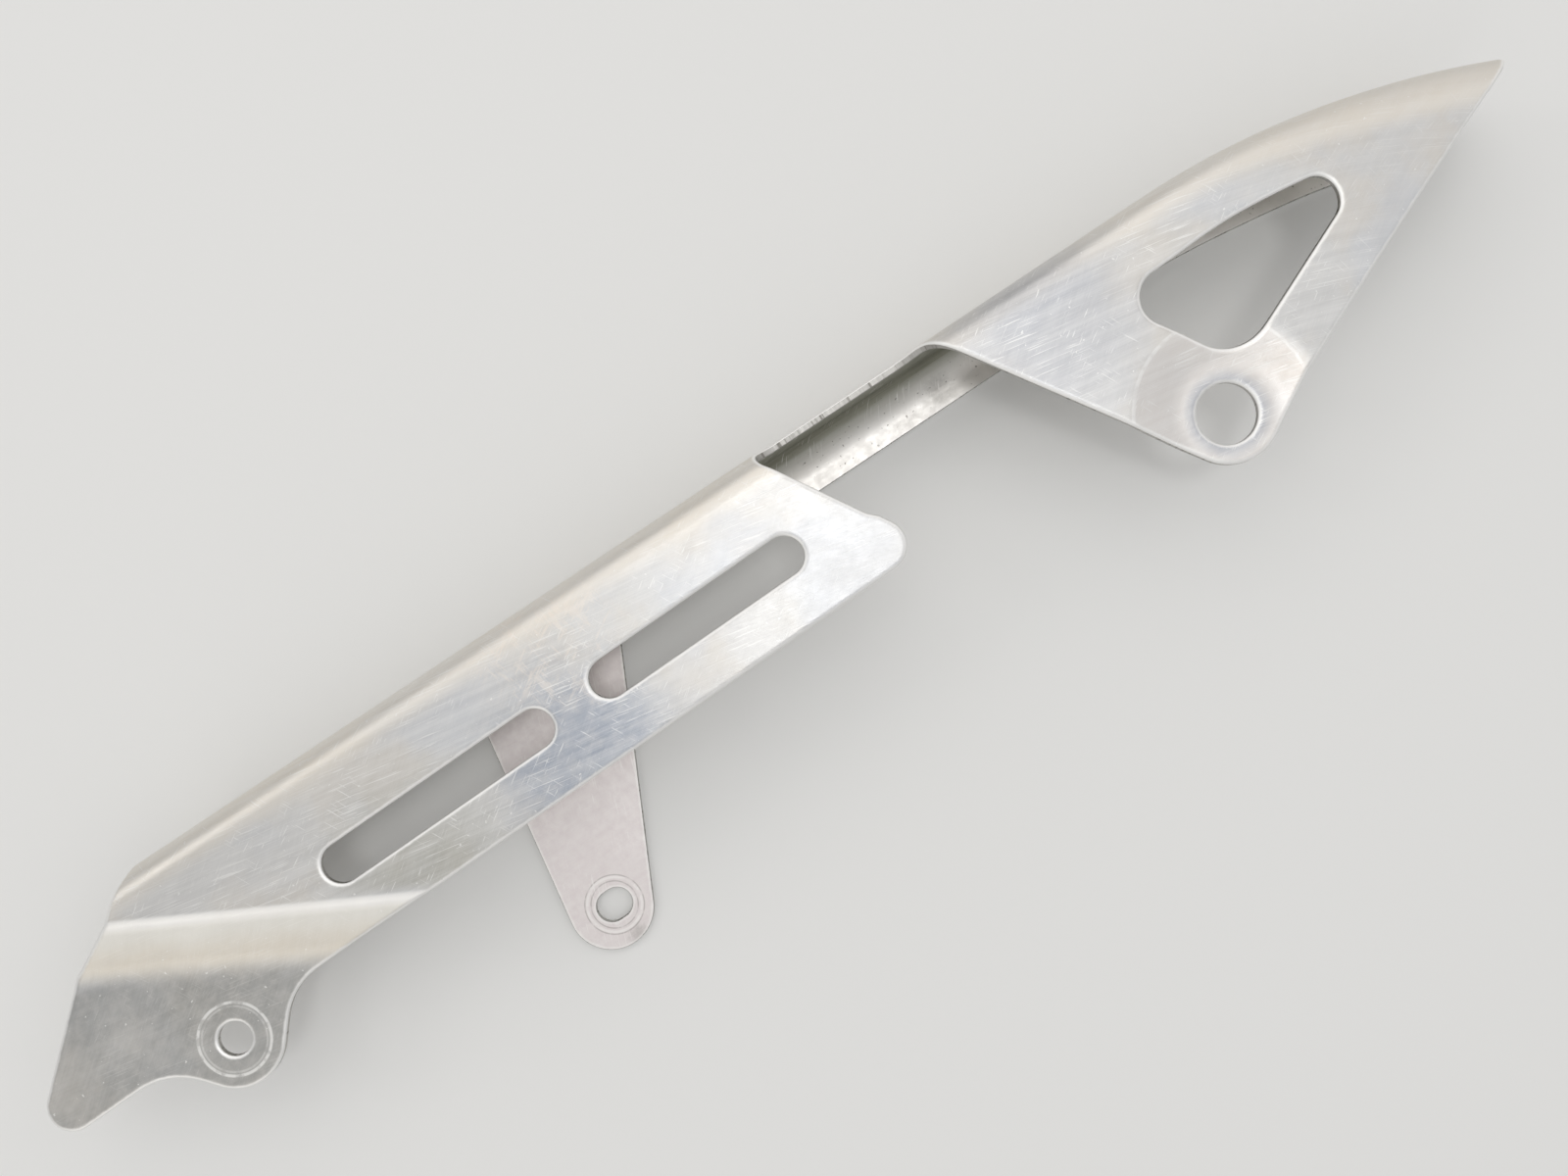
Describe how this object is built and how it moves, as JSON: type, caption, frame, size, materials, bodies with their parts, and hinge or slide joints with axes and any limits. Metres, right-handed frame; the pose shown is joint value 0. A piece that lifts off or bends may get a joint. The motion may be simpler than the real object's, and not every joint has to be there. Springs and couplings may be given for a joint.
{
  "type": "motorcycle chain guard",
  "caption": "Pressed sheet guard over a motorcycle's drive chain: C-shaped channel with a stepped front foot, slots, a notch, a triangular window and an inner mounting tab.",
  "frame": {"origin": "axis of the front mounting hole, at the underside of the front foot, which is the face that seats on the swingarm", "axes": "+X to the rear along the straight top edge, +Y across the face towards the top edge, +Z out of the outer face, which lies level"},
  "size_m": [0.3508, 0.0699, 0.026],
  "materials": {
    "brushed_sheet": "satin, brushed along the length and scratched with use"
  },
  "bodies": {
    "root": {"chain_guard": "brushed_sheet"}
  },
  "joints": []
}
